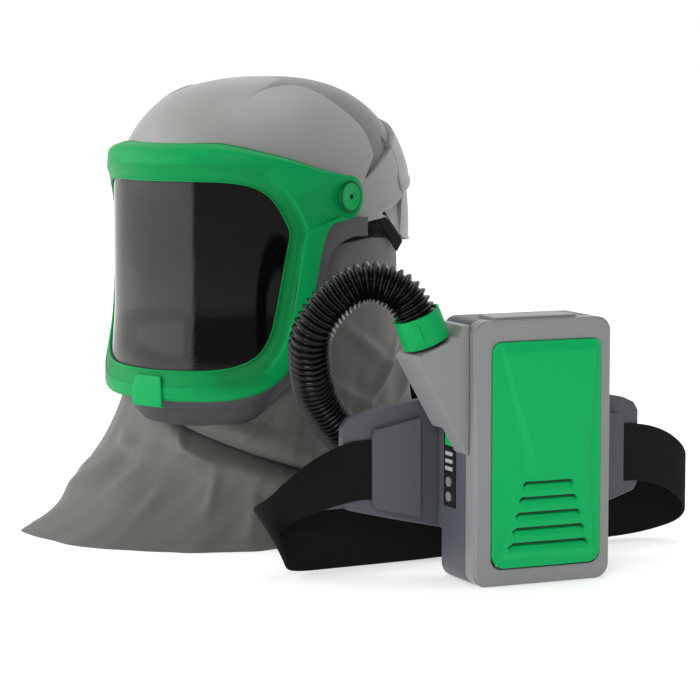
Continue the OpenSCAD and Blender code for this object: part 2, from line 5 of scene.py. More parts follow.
import bmesh
import bpy
import numpy as np
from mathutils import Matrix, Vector


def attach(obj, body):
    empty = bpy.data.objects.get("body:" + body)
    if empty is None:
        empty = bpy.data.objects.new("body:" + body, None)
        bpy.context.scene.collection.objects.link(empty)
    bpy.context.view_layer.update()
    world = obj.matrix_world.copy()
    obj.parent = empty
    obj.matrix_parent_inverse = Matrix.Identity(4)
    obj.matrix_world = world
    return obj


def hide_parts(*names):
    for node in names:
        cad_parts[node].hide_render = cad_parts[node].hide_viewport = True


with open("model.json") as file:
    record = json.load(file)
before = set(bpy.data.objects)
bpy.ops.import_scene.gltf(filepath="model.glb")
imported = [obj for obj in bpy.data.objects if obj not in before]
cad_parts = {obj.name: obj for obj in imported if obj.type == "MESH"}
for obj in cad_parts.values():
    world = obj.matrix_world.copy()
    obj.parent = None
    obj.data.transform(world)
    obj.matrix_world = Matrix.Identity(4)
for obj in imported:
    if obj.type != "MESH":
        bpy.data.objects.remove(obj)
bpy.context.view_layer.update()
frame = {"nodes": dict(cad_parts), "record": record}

MM = 0.001
ROOT = "respirator"
SHIFT = np.array([-96.3, 0.66, 0.0])      # from the helmet's own axis to the row frame
BLOWER = np.array([345.5, -48.6, 0.0])    # middle of the blower's front, from the helmet's axis
TURN = math.radians(64)                   # the blower's turn about the vertical
A, B, C = 114.0, 142.0, 138.0             # half width, half length and height of the dome
DOME_Y, DOME_Z = 8.0, 262.0               # its middle, and the height where the wall curves in
OVAL = 2.2                                # how square the dome is in plan, 2 being a true oval
PLAN_Y, VISOR_R = -18.0, 123.0            # centre and outside radius of the visor in plan
FRONT_Y = PLAN_Y - VISOR_R                # the visor's foremost line
PIVOT = (-20.0, 297.0)                    # y and z of the visor's hinge


# ---------- places ----------
def helm(p):
    """A point from the helmet's own axis, in millimetres, to the row frame in metres."""
    return (np.asarray(p, float) + SHIFT) * MM


def blow(p):
    """A point in the blower's own frame (X right, Y back, Z up) to the row frame."""
    p = np.asarray(p, float)
    c, s = math.cos(TURN), math.sin(TURN)
    out = np.stack([p[..., 0] * c - p[..., 1] * s, p[..., 0] * s + p[..., 1] * c, p[..., 2]], -1)
    return (out + BLOWER + SHIFT) * MM


# ---------- camera ----------
VIEW_TURN, VIEW_FAR, VIEW_HIGH = math.radians(42), 2400.0, 420.0
LENS = 140.246                            # focal length straight ahead, on a 36 mm sensor
AIM_RIGHT, AIM_DOWN = 0.033737, 0.109644  # how far the view is turned, for each metre ahead


def camera():
    ahead = np.array([-math.sin(VIEW_TURN), math.cos(VIEW_TURN), 0.0])
    right = np.array([math.cos(VIEW_TURN), math.sin(VIEW_TURN), 0.0])
    look = ahead + right * AIM_RIGHT - np.array([0, 0, 1]) * AIM_DOWN
    cam = bpy.data.objects.new("camera", bpy.data.cameras.new("camera"))
    bpy.context.scene.collection.objects.link(cam)
    cam.location = helm(-ahead * VIEW_FAR + np.array([0, 0, VIEW_HIGH]))
    cam.rotation_euler = Vector(look).to_track_quat("-Z", "Y").to_euler()
    cam.data.lens = LENS * float(np.linalg.norm(look))
    cam.data.clip_end = 20
    bpy.context.scene.camera = cam


camera()


# ---------- materials ----------
def material(name, colour, rough=0.5, metal=0.0, coat=0.0, bump=0.0, grain=900.0, alpha=1.0, sheen=0.0,
             spec=0.5, mottle=0.0):
    m = bpy.data.materials.new(name)
    m.use_nodes = True
    t = m.node_tree
    s = t.nodes["Principled BSDF"]
    s.inputs["Base Color"].default_value = (*colour, 1)
    s.inputs["Roughness"].default_value = rough
    s.inputs["Metallic"].default_value = metal
    s.inputs["Coat Weight"].default_value = coat
    s.inputs["Alpha"].default_value = alpha
    s.inputs["Sheen Weight"].default_value = sheen
    s.inputs["Specular IOR Level"].default_value = spec
    if bump or mottle:
        place = t.nodes.new("ShaderNodeTexCoord")
        noise = t.nodes.new("ShaderNodeTexNoise")
        noise.inputs["Scale"].default_value = grain
        noise.inputs["Detail"].default_value = 4
        t.links.new(place.outputs["Object"], noise.inputs["Vector"])
        if bump:
            b = t.nodes.new("ShaderNodeBump")
            b.inputs["Strength"].default_value = bump
            b.inputs["Distance"].default_value = 0.0006
            t.links.new(noise.outputs["Fac"], b.inputs["Height"])
            t.links.new(b.outputs["Normal"], s.inputs["Normal"])
        if mottle:
            mix = t.nodes.new("ShaderNodeMix")
            mix.data_type = "RGBA"
            mix.inputs["A"].default_value = (*[c * (1 - mottle) for c in colour], 1)
            mix.inputs["B"].default_value = (*[c * (1 + mottle) for c in colour], 1)
            t.links.new(noise.outputs["Fac"], mix.inputs["Factor"])
            t.links.new(mix.outputs["Result"], s.inputs["Base Color"])
    return m


M = {
    "shell": material("shell_grey", (0.27, 0.27, 0.262), 0.38, bump=0.05, grain=1500),
    "green": material("visor_green", (0.0002, 0.36, 0.092), 0.42, bump=0.10, grain=1600, spec=0.14),
    "door": material("door_green", (0.0004, 0.44, 0.115), 0.45, bump=0.10, grain=1600, spec=0.16),
    "lens": material("smoked_lens", (0.004, 0.004, 0.004), 0.07, alpha=0.965, spec=0.32),
    "gap": material("joint_shadow", (0.002, 0.06, 0.018), 0.6),
    "dark": material("dark_plastic", (0.062, 0.063, 0.068), 0.5, bump=0.08, grain=1500),
    "black": material("black_plastic", (0.009, 0.009, 0.01), 0.5, spec=0.35, bump=0.05, grain=1500),
    "rubber": material("black_rubber", (0.006, 0.006, 0.006), 0.6, spec=0.25, bump=0.05, grain=1500),
    "hose": material("hose_black", (0.002, 0.002, 0.002), 0.22, spec=0.26, mottle=0.1),
    "fabric": material("coated_cloth", (0.108, 0.104, 0.094), 0.62, bump=0.25, grain=1100, sheen=0.15,
                       mottle=0.08),
    "web": material("black_webbing", (0.006, 0.006, 0.0065), 0.8, bump=0.5, grain=1300, spec=0.18,
                    mottle=0.1),
    "pad": material("pad_grey", (0.072, 0.075, 0.092), 0.55, bump=0.08, grain=1500),
    "case": material("case_dark", (0.088, 0.095, 0.112), 0.45, bump=0.06, grain=1500),
    "bezel": material("case_light", (0.255, 0.255, 0.26), 0.42, bump=0.06, grain=1500),
    "steel": material("steel", (0.6, 0.6, 0.6), 0.3, metal=1.0),
    "nylon": material("white_nylon", (0.7, 0.7, 0.67), 0.6),
    "red": material("latch_red", (0.3, 0.03, 0.02), 0.5),
    "board": material("board_green", (0.02, 0.12, 0.05), 0.5),
    "lamp": material("lamp_green", (0.01, 0.5, 0.12), 0.4),
    "mark": material("mark_grey", (0.45, 0.47, 0.48), 0.5),
}
CAD_LOOK = {"shell": "shell", "green": "green", "lens": "lens", "dark": "dark", "rubber": "rubber",
            "hose": "hose", "fabric": "fabric", "webbing": "web", "pad": "pad", "case_dark": "case",
            "case_light": "bezel", "steel": "steel", "nylon": "nylon", "red": "red", "board": "board"}


def paint_cad():
    for part in frame["record"]["subparts"]:
        o = frame["nodes"].get(part["node"])
        if o is None or o.type != "MESH":
            continue
        o.data.materials.clear()
        o.data.materials.append(M[CAD_LOOK[part["material_slot"]]])
    for n in ("battery_pack", "status_display", "buckle_socket", "buckle_plug", "strap_adjuster"):
        frame["nodes"][n].data.materials[0] = M["black"]


paint_cad()


# ---------- mesh helpers ----------
def piece(name, verts, faces, look, body=ROOT, slot=None, nodes=(), bevel=0.0, angle=30, solid=0.0, steps=2,
          merge=True):
    """A mesh from points in the row frame, in metres."""
    me = bpy.data.meshes.new(name)
    me.from_pydata([tuple(v) for v in np.asarray(verts).reshape(-1, 3)], [], [tuple(f) for f in faces])
    bm = bmesh.new()
    bm.from_mesh(me)
    if merge:
        bmesh.ops.remove_doubles(bm, verts=bm.verts, dist=1e-6)
    bmesh.ops.recalc_face_normals(bm, faces=bm.faces)
    bm.to_mesh(me)
    bm.free()
    o = bpy.data.objects.new(name, me)
    bpy.context.scene.collection.objects.link(o)
    me.materials.append(M[look])
    if solid:
        mod = o.modifiers.new("wall", "SOLIDIFY")
        mod.thickness, mod.offset = solid * MM, -1
    if bevel:
        mod = o.modifiers.new("edges", "BEVEL")
        mod.width, mod.segments, mod.limit_method = bevel * MM, steps, "ANGLE"
        mod.angle_limit = math.radians(30)
    me.shade_smooth()
    me.set_sharp_from_angle(angle=math.radians(angle))
    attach(o, body)
    if nodes:
        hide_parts(*nodes)
    return o


def strips(rows, cols, closed, base=0):
    last = cols if closed else cols - 1
    return [(base + r * cols + c, base + r * cols + (c + 1) % cols, base + (r + 1) * cols + (c + 1) % cols,
             base + (r + 1) * cols + c) for r in range(rows - 1) for c in range(last)]


def loft(name, loops, look, cap_first=True, cap_last=True, **kw):
    """Closed loops of equal length joined in order, with flat ends."""
    loops = np.asarray(loops)
    n, m = loops.shape[:2]
    faces = strips(n, m, True)
    if cap_first:
        faces.append(tuple(range(m)))
    if cap_last:
        faces.append(tuple(reversed(range((n - 1) * m, n * m))))
    return piece(name, loops.reshape(-1, 3), faces, look, **kw)


def lookup(x, pairs):
    xs, ys = zip(*pairs)
    return np.interp(x, xs, ys)


def step(e0, e1, x):
    t = np.clip((x - e0) / (e1 - e0), 0, 1)
    return t * t * (3 - 2 * t)


def spline(points, per):
    """A Catmull-Rom curve through the points."""
    p = np.asarray(points, float)
    out = []
    for i in range(len(p) - 1):
        a, b, c, d = p[max(0, i - 1)], p[i], p[i + 1], p[min(len(p) - 1, i + 2)]
        for t in np.arange(per) / per:
            square, cube = 2 * a - 5 * b + 4 * c - d, 3 * b - a - 3 * c + d
            out.append(0.5 * (2 * b + (c - a) * t + square * t**2 + cube * t**3))
    return np.array(out + [p[-1]])


def even(p, n, closed=False):
    """n points evenly spaced along a line of points."""
    p = np.asarray(p, float)
    if closed:
        p = np.vstack([p, p[:1]])
    far = np.concatenate([[0], np.cumsum(np.linalg.norm(np.diff(p, axis=0), axis=1))])
    at = np.linspace(0, far[-1], n + 1 if closed else n)[: n if closed else None]
    return np.stack([np.interp(at, far, p[:, k]) for k in range(p.shape[1])], -1)


def frames(p):
    """Two directions across a line at each of its points, with no twist."""
    t = np.gradient(p, axis=0)
    t /= np.linalg.norm(t, axis=1)[:, None]
    n, out = np.array([0.9, -0.44, 0.0]), []
    for d in t:
        n = n - d * (n @ d)
        n /= np.linalg.norm(n)
        out.append(n)
    out = np.array(out)
    return out, np.cross(t, out)


def plate(name, outline, y0, y1, look, **kw):
    """An outline in the blower's X and Z, pushed from depth y0 to y1."""
    outline = np.asarray(outline, float)
    loops = [blow(np.stack([outline[:, 0], np.full(len(outline), y), outline[:, 1]], -1)) for y in (y1, y0)]
    return loft(name, loops, look, **kw)


# ---------- helmet ----------
def dome_radius(f):
    """How far the dome's wall stands from its axis at plan angle f."""
    return ((np.abs(np.cos(f)) / A) ** OVAL + (np.abs(np.sin(f)) / B) ** OVAL) ** (-1 / OVAL)


def dome_point(f, t, z):
    """A point of the dome: plan angle f, rise t where the wall curves in, height z below that."""
    r = dome_radius(f)
    s = np.maximum(np.cos(t), 0) ** 0.8
    zz = np.where(t > 0, DOME_Z + C * np.abs(np.sin(t)) ** 0.8, z)
    return np.stack([r * s * np.cos(f), DOME_Y + r * s * np.sin(f), zz], -1)


# y, height of the lower rim
LOW = [(-150, 330), (-100, 325), (-62, 318), (-40, 282), (-25, 273), (13, 274), (44, 277), (80, 257),
       (160, 247)]
# height, place y of the crest
CREST_LOW = [(300, 8), (307, 12), (316, 20), (324, 28), (331, 35)]
# y, half width of the crest
CREST_TOP = [(-90, 47), (-70, 49), (-36, 50), (-8, 58), (13, 81), (30, 95), (35, 105), (60, 130)]
CREST_TOP = [tuple(q) for q in spline(CREST_TOP, 12)]
CREST_LOW = [tuple(q) for q in spline(CREST_LOW, 12)]
# y, inner edge of the dark band
DARK_TOP = [(-75, 49), (-60, 47), (-36, 43), (-8, 34), (12, 0)]
# y, height of the rear ledge
LEDGE = [(20, 279), (40, 282), (58, 286), (83, 296), (110, 302), (150, 306)]


def dome_grid(cols, rows):
    f = np.linspace(0, 2 * np.pi, cols, endpoint=False)
    low = lookup(DOME_Y + dome_radius(f) * np.sin(f), LOW)
    t0 = np.where(low > DOME_Z, np.arcsin(np.clip((low - DOME_Z) / C, 0, 1) ** 1.25), 0)
    v = np.linspace(0, 1, rows)[:, None]
    below = (low < DOME_Z)[None, :]
    skirt = 0.1
    t = np.where(below, np.clip((v - skirt) / (1 - skirt), 0, 1) * np.pi / 2, t0 + (np.pi / 2 - t0) * v)
    z = np.where(below, low + (DOME_Z - low) * np.clip(v / skirt, 0, 1), DOME_Z)
    return dome_point(np.broadcast_to(f, t.shape), t, z), low


def dome_normals(p):
    d = (p - np.array([0, DOME_Y, DOME_Z - 20])) / np.array([A, B, C])
    d[..., 2] = np.maximum(d[..., 2], 0.02)
    d = d / np.array([A, B, C])
    return d / np.linalg.norm(d, axis=-1, keepdims=True)


def tone(o, values):
    """Keep a number for every point of the mesh, for the material to read."""
    a = o.data.color_attributes.new("tone", "FLOAT_COLOR", "POINT")
    v = np.asarray(values, float).reshape(-1)
    a.data.foreach_set("color", np.stack([v, v, v, np.ones_like(v)], -1).reshape(-1))


def tone_colour_and_painted_light(name, low, high, rough, **kw):
    """Plastic whose colour runs from low to high with the mesh's own tone; used for a part's second colour
    and for painted shade and painted reflections.
    """
    m = material(name, low, rough, **kw)
    t = m.node_tree
    a = t.nodes.new("ShaderNodeVertexColor")
    a.layer_name = "tone"
    mix = t.nodes.new("ShaderNodeMix")
    mix.data_type = "RGBA"
    mix.inputs["A"].default_value = (*low, 1)
    mix.inputs["B"].default_value = (*high, 1)
    t.links.new(a.outputs["Color"], mix.inputs["Factor"])
    t.links.new(mix.outputs["Result"], t.nodes["Principled BSDF"].inputs["Base Color"])
    return m


# green of the visor frame, with painted shade on the bevel towards the window
M["green_skin"] = tone_colour_and_painted_light("green_painted_bevel_shade", (0.0002, 0.315, 0.082), (0.0002, 0.20, 0.045), 0.42, bump=0.10,
                           grain=1600, spec=0.12)
# the lens tone paints a reflection onto the smoked lens
M["lens_painted_reflection"] = tone_colour_and_painted_light("lens_reflection_painted_tone", (0.0025, 0.0023, 0.0023), (0.62, 0.62, 0.60), 0.09, spec=0.16,
                          alpha=0.97)
# shell grey, with the crown cover's own darker colour and painted shade along the edge of the recess
M["shell_skin"] = tone_colour_and_painted_light("shell_cover_colour_and_edge_shade", (0.29, 0.29, 0.278), (0.10, 0.108, 0.115), 0.36, bump=0.05,
                           grain=1500)


def helmet_shell():
    p, low = dome_grid(560, 260)
    n = dome_normals(p)
    x, y, z = np.abs(p[..., 0]), p[..., 1], p[..., 2]
    high = z >= 331
    edge = np.where(high, lookup(y, CREST_TOP) - x, y - lookup(z, CREST_LOW))
    back = y - (22 + 2.07 * (z - 314))                      # past the rear band's front edge
    deep = step(-82, -25, y) * step(303, 312, z)
    inside = step(-0.7, 1.1, edge) * deep * step(1.0, -1.0, back)
    sink = -3.2 * inside
    rear = step(-1.0, 1.0, back) * step(309, 313, z) * 1.4
    ledge = lookup(y, LEDGE)
    under = step(0.9, -0.9, z - ledge) * step(26, 44, y)
    lip = step(7, 0, np.abs(z - ledge - 3.5)) * step(22, 46, y)
    rim = step(3.5, 0.5, z - low[None, :]) * step(-40, -10, y)
    p = p + n * (sink + rear - 3.0 * under + 1.8 * lip * (1 - under) + 0.9 * rim)[..., None]
    dark = inside * step(-3.5, 3.5, x - lookup(y, DARK_TOP)) * step(-76, -66, y)
    # painted shade: a dark line in the crease along the recess edge
    crease = np.exp(-(edge / 0.8) ** 2) * deep * step(1.0, -1.0, back) * step(-78, -60, y)
    o = piece("shell_skin", helm(p), strips(p.shape[0], p.shape[1], True), "shell_skin", slot="shell",
              nodes=("helmet_shell", "crown_duct_cover"), solid=2.4, angle=50, merge=False)
    tone(o, np.clip(dark * 0.85 + 0.35 * crease, 0, 1))


helmet_shell()


def nape_tab():
    """The black suspension strap that shows between the shell and the cape."""
    for side, name in ((1, "left"), (-1, "right")):
        a, b = np.array([108.5, 34, 281.0]), np.array([103.5, 68, 250.0])
        along = (b - a) / np.linalg.norm(b - a)
        across = np.cross(along, [1, 0, 0.0])
        across /= np.linalg.norm(across)
        rows = []
        for t in np.linspace(0, 1, 12):
            c = a + (b - a) * t
            rows.append([(c + across * w) * [side, 1, 1] for w in np.linspace(-5.5, 5.5, 6)])
        piece(f"nape_tab_{name}", helm(np.array(rows)), strips(12, 6, False), "web", slot="webbing",
              solid=1.6)


nape_tab()


def arc_of(y, r=VISOR_R):
    """Distance round the visor's plan from its middle, for a place y on the wearer's left."""
    y = np.asarray(y, float)
    c = np.clip((PLAN_Y - y) / r, -1, 1)
    return np.where(y < PLAN_Y, np.arccos(c) * r, r * np.pi / 2 + (y - PLAN_Y))


def on_visor(a, z, r):
    """A point round the visor's plan at distance a (worked out at the outside) and radius r."""
    side = np.sign(a)
    a = np.abs(a)
    th = np.minimum(a / VISOR_R, np.pi / 2)
    back = np.maximum(a - VISOR_R * np.pi / 2, 0)
    return np.stack([side * r * np.sin(th), PLAN_Y - r * np.cos(th) + back, z], -1)


WINDOW = [(-141, 310.5), (-127, 310.6), (-112, 309), (-99.5, 304.6), (-89.4, 295.4), (-81.4, 281),
          (-76.2, 271), (-75.9, 267), (-77.8, 255), (-80.8, 240), (-85, 215), (-89.5, 190), (-94, 176),
          (-102, 164), (-114, 157), (-127, 153.6), (-141, 152)]
OUTER = [(-141, 342), (-130, 342.5), (-116, 341), (-80, 331), (-56, 323), (-42, 319.2), (-32, 316.6)]
LOWER = [(-31, 281), (-36, 277), (-40, 273.5), (-45, 265), (-49, 251), (-55, 223), (-64, 192), (-72, 167),
         (-83, 148), (-99, 135.5), (-116, 129.5), (-130, 127.5), (-141, 127)]


def visor_half():
    """Right half of the visor frame's outline: brow, round ear, side arm, chin."""
    def flat(pairs):
        return [(float(arc_of(y)) if y > FRONT_Y else 0.0, z) for y, z in pairs]
    ear = [(PIVOT[0] + 18 * math.cos(math.radians(t)), PIVOT[1] + 18 * math.sin(math.radians(t)))
           for t in range(98, -106, -6)]
    return np.vstack([spline(flat(OUTER), 10), flat(ear), spline(flat(LOWER), 10)])


def window_loop():
    half = spline([(float(arc_of(y)) if y > FRONT_Y else 0.0, z) for y, z in WINDOW], 10)
    return np.vstack([half, half[::-1] * [-1, 1]])


def corner_in(a, z, less=0.0):
    """How much slimmer the visor's plan is round its front than at its sides."""
    return -(2.6 + 3.2 * step(150, 205, z) - less) * step(88, 52, np.degrees(np.abs(a) / VISOR_R))


LENS_LESS = 1.2
# how strongly the brow rolls in, by distance round the front: it has to clear the dome when it swings up
BROW = [(0, 1), (40, 0.98), (64, 0.82), (86, 0.58), (110, 0.42), (140, 0.25), (190, 0)]
BROW = [tuple(q) for q in spline(BROW, 10)]
def round_pivot(x, r, n):
    """A circle of n points round the visor's pivot axis."""
    a = np.linspace(0, 2 * np.pi, n, endpoint=False)
    return helm(np.stack([np.full(n, x), PIVOT[0] + r * np.cos(a), PIVOT[1] + r * np.sin(a)], -1))


MIDDLE = np.array([0.0, 232.0])
# distance out from the window's edge, and how far out the surface stands there
SECTION = [(15.5, 123.7), (14.4, 123.3), (13.8, 122.6), (9.0, 121.6), (7.6, 121.3), (6.8, 120.9),
           (3.0, 119.9), (1.6, 119.8), (1.2, 120.6), (0.5, 120.6), (0.0, 120.2), (0.0, 118.7),
           (8.0, 119.0)]
# how far out a point of the ring round the pivot cap stands, and its radius
PIVOT_RING = [(123.2, 13.2), (124.0, 13.0), (124.0, 12.2), (123.3, 11.9)]
# distance in from the outer edge, and how far the brow has rolled back there
ROLL = [(0.0, 16.0), (1.0, 11.8), (2.4, 8.0), (4.4, 4.6), (7.0, 2.1), (11.0, 0.5)]


def visor_frame():
    half = visor_half()
    out = even(np.vstack([half, half[::-1] * [-1, 1]]), 1000, closed=True)
    win = even(window_loop(), 2400, closed=True)

    # for every point of the outline, the window point in the same direction from the middle
    def heading(q):
        return np.arctan2(q[:, 1] - MIDDLE[1], q[:, 0] - MIDDLE[0])

    hw = heading(win)
    order = np.argsort(hw)
    ho = heading(out)
    near = np.stack([np.interp(ho, hw[order], win[order, k], period=2 * np.pi) for k in (0, 1)], -1)
    pad = 26
    wrap = np.vstack([near[-pad:], near, near[:pad]])
    wide = np.hanning(2 * pad + 3)[1:-1]
    near = np.stack([np.convolve(wrap[:, k], wide / wide.sum(), "valid") for k in (0, 1)], -1)
    span = np.linalg.norm(near - out, axis=1)[:, None]
    ray = (near - out) / span
    brow = lookup(np.abs(out[:, 0]), BROW) * step(290, 305, out[:, 1])

    def ring(p, r, like=None):
        q = p if like is None else like
        return helm(on_visor(p[:, 0], p[:, 1], r + corner_in(q[:, 0], q[:, 1])))

    first = ring(out, 119.2 - 16.0 * brow)
    skins = [first, ring(out, 122.0 - 15.9 * brow)]
    for far, drop in ROLL:
        p = out + ray * (far * brow[:, None] + (0.9 + far * 0.25) * (1 - brow[:, None]))
        face = np.interp(far, [0, 2.4, 11], [122.2, 123.4, 123.9])
        skins.append(ring(p, face - (1.5 + drop) * brow))
    skins += [ring(near - ray * np.minimum(far, span - 3), r) for far, r in SECTION]
    skins += [ring(out + ray * 3.0, 119.2 - 12.0 * brow, like=out), first]
    o = loft("visor_frame_skin", skins, "green_skin", cap_first=False, cap_last=False, body="visor",
             slot="green", nodes=("visor_frame",), angle=30)
    # painted shade: the bevel towards the window is painted a deeper green, most of all down the sides
    v = np.array([q.co for q in o.data.vertices]) / MM - SHIFT
    flat = np.stack([np.sign(v[:, 0]) * arc_of(np.minimum(v[:, 1], 20)), v[:, 2]], -1)
    near = np.concatenate([np.sqrt(((q[:, None] - win[None, ::4]) ** 2).sum(-1)).min(axis=1)
                           for q in np.array_split(flat, 40)])
    side = step(60, 84, np.abs(flat[:, 0])) * step(310, 285, v[:, 2])
    tone(o, step(14.4, 13.9, near) * step(1.5, 2.5, near) * (0.45 + 0.55 * side))
    # a raised ring round each pivot cap, painted dark as the shadow in its joint
    for side, word in ((1, "left"), (-1, "right")):
        rings = [round_pivot(side * x, r, 64) for x, r in PIVOT_RING]
        loft(f"pivot_ring_{word}", rings, "gap", cap_first=False, cap_last=False, body="visor")
    # grip tab at the chin
    a = np.array([-17, -13, 13, 17.0])
    rows = []
    for z, r in ((120.8, 118.5), (121.2, 122.2), (124, 123.6), (133, 123.6), (147, 121.6), (148, 119.5)):
        w = 0.86 if z > 140 else 1.0
        rows.append(helm(on_visor(a * w, np.full(4, z), r)))
    rows = np.array(rows)
    piece("visor_grip_tab", rows, strips(len(rows), 4, False), "green", body="visor", slot="green", solid=2,
          bevel=0.6)
    return o


visor_frame()


def visor_lens():
    z = np.linspace(146.5, 316, 50)
    right = np.array([(float(arc_of(y)), h) for y, h in WINDOW if y > FRONT_Y])
    upper = right[right[:, 1] > 268 - 1]
    lower = right[right[:, 1] < 268 + 1]
    rows, arcs = [], []
    for h in z:
        k = np.clip(h, 156, 308)
        src = upper if k > 268 else lower
        order = np.argsort(src[:, 1])
        half = np.interp(k, src[order, 1], src[order, 0]) + 5
        a = np.linspace(-half, half, 90)
        arcs.append(a)
        rows.append(helm(on_visor(a, np.full(90, h), 116.8 + corner_in(a, h, LENS_LESS))))
    rows = np.array(rows)
    o = piece("lens_skin", rows, strips(len(z), 90, False), "lens_painted_reflection", body="visor", slot="lens",
              nodes=("visor_lens",), solid=2, angle=60, merge=False)
    # painted reflection: what the smoked lens mirrors, painted pale at the turn of its side, mid grey, then
    # black
    a = np.array(arcs)
    pale = step(-74, -92, a)
    tone(o, 0.75 * pale + 0.085 * (1 - pale) * step(45, 42, a))
    return o


visor_lens()


def lens_gasket():
    """A thin black seal between the lens and the frame, following the window."""
    win = even(window_loop(), 500, closed=True)
    out = MIDDLE - win
    out = win - out / np.linalg.norm(out, axis=1)[:, None] * 5.0
    inner = MIDDLE - win
    inner = win + inner / np.linalg.norm(inner, axis=1)[:, None] * 0.5
    loops = [helm(on_visor(q[:, 0], q[:, 1], r + corner_in(q[:, 0], q[:, 1], LENS_LESS)))
             for q, r in ((inner, 116.9), (inner, 117.5), (out, 117.5), (out, 116.9), (inner, 116.9))]
    loft("lens_gasket_skin", loops, "rubber", cap_first=False, cap_last=False, body="visor", slot="rubber",
         nodes=("lens_gasket",), angle=40)


lens_gasket()


# ---------- shapes taken over from the CAD, with their edges rounded ----------
BODY_OF = {}
for body, members in frame["record"]["behaviour"]["bodies"].items():
    for node in (members["nodes"] if isinstance(members, dict) else members):
        BODY_OF[node] = body
SLOT_OF = {p["node"]: p["material_slot"] for p in frame["record"]["subparts"]}


def soften(node, width, look, steps=3, angle=35):
    """A copy of a CAD node's shape with rounded edges, standing for that node."""
    me = frame["nodes"][node].data.copy()
    bm = bmesh.new()
    bm.from_mesh(me)
    bmesh.ops.remove_doubles(bm, verts=bm.verts, dist=2e-6)
    bmesh.ops.dissolve_limit(bm, angle_limit=math.radians(1.0), verts=bm.verts, edges=bm.edges)
    bm.to_mesh(me)
    bm.free()
    o = bpy.data.objects.new(node + "_skin", me)
    bpy.context.scene.collection.objects.link(o)
    me.materials.clear()
    me.materials.append(M[look])
    for f in me.polygons:
        f.material_index = 0
    if width:
        mod = o.modifiers.new("edges", "BEVEL")
        mod.width, mod.segments, mod.limit_method = width * MM, steps, "ANGLE"
        mod.angle_limit = math.radians(angle)
        mod.use_clamp_overlap = True
        mod.harden_normals = False
    me.shade_smooth()
    me.set_sharp_from_angle(angle=math.radians(angle))
    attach(o, BODY_OF[node])
    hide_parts(node)
    return o


for node, width, look in (
        ("rear_housing", 1.6, "case"), ("front_bezel", 1.8, "bezel"), ("outlet_duct", 1.0, "bezel"),
        ("hose_collar", 0.5, "green"), ("door_latch", 0.8, "bezel"), ("hip_pad_left", 1.4, "pad"),
        ("hip_pad_right", 1.4, "pad"), ("strap_guide_left", 0.9, "pad"), ("strap_guide_right", 0.9, "pad"),
        ("back_plate", 1.2, "case"), ("buckle_socket", 1.0, "black"), ("buckle_plug", 1.0, "black"),
        ("strap_adjuster", 0.8, "black")):
    soften(node, width, look)


def pivot_caps():
    """Plain round caps with a turned edge."""
    turned = ((119.5, 10.5), (122.6, 11.6), (124.2, 11.6), (124.8, 11.0), (124.9, 9.4), (124.5, 8.8),
              (124.5, 0.05))
    for side, word in ((1, "left"), (-1, "right")):
        node = f"pivot_cap_{word}"
        rings = [round_pivot(side * x, r, 72) for x, r in turned]
        loft(node + "_skin", rings, "green", body=BODY_OF[node], slot=SLOT_OF[node], nodes=(node,), angle=40)


pivot_caps()


# ---------- filter door ----------
DOOR = dict(x0=-45.2, x1=50.7, z0=14.5, z1=193.2, r=8.0)
GLASS_L = [(26, -38), (88, -17), (100, -17), (186, -37)]      # left edge of the raised middle, by height
GLASS_R = [(26, 44), (98, 39), (187, 46)]                     # right edge


def vents():
    """Middle height and half width of each louvre, from the top one down."""
    return [(81 - 12 * i, 22 + 3.5 * i) for i in range(5)]


VENT_X = 3                                                   # middle of the louvres


def door_depth(x, z):
    """How far the door's face stands at Y, negative towards the front."""
    left, right = lookup(z, GLASS_L), lookup(z, GLASS_R)
    ease_l = 2.0 + 8.0 * step(80, 5, np.abs(z - 96))
    up = step(0, 1, (x - left + 1) / ease_l) * step(-1.2, 1.2, right - x)
    up = up * step(21, 27, z) * step(192, 184, z)
    y = -1.5 - 3.0 * up - 0.8 * step(0, 30, x - DOOR['x0']) * step(0, 30, DOOR['x1'] - x) * step(192, 150, z)
    for zc, w in vents():
        u = np.abs(x - VENT_X) / w
        inside = step(1.0, 0.93, u)
        drop = zc + 1.7 - 2.6 * step(0.86, 1.0, u)
        t = drop - z
        scoop = np.where((t > 0) & (t < 7.5), 2.4 * np.clip(1 - t / 7.5, 0, 1) ** 1.3, 0) * step(-0.3, 0.3, t)
        slot = 2.2 * step(-0.2, 0.25, t) * step(2.6, 2.0, t)
        y = y + inside * (scoop + slot)
    edge = np.minimum.reduce([x - DOOR["x0"], DOOR["x1"] - x, z - DOOR["z0"], DOOR["z1"] - z])
    return y + 0.9 * np.clip(1 - edge / 1.4, 0, 1) ** 2


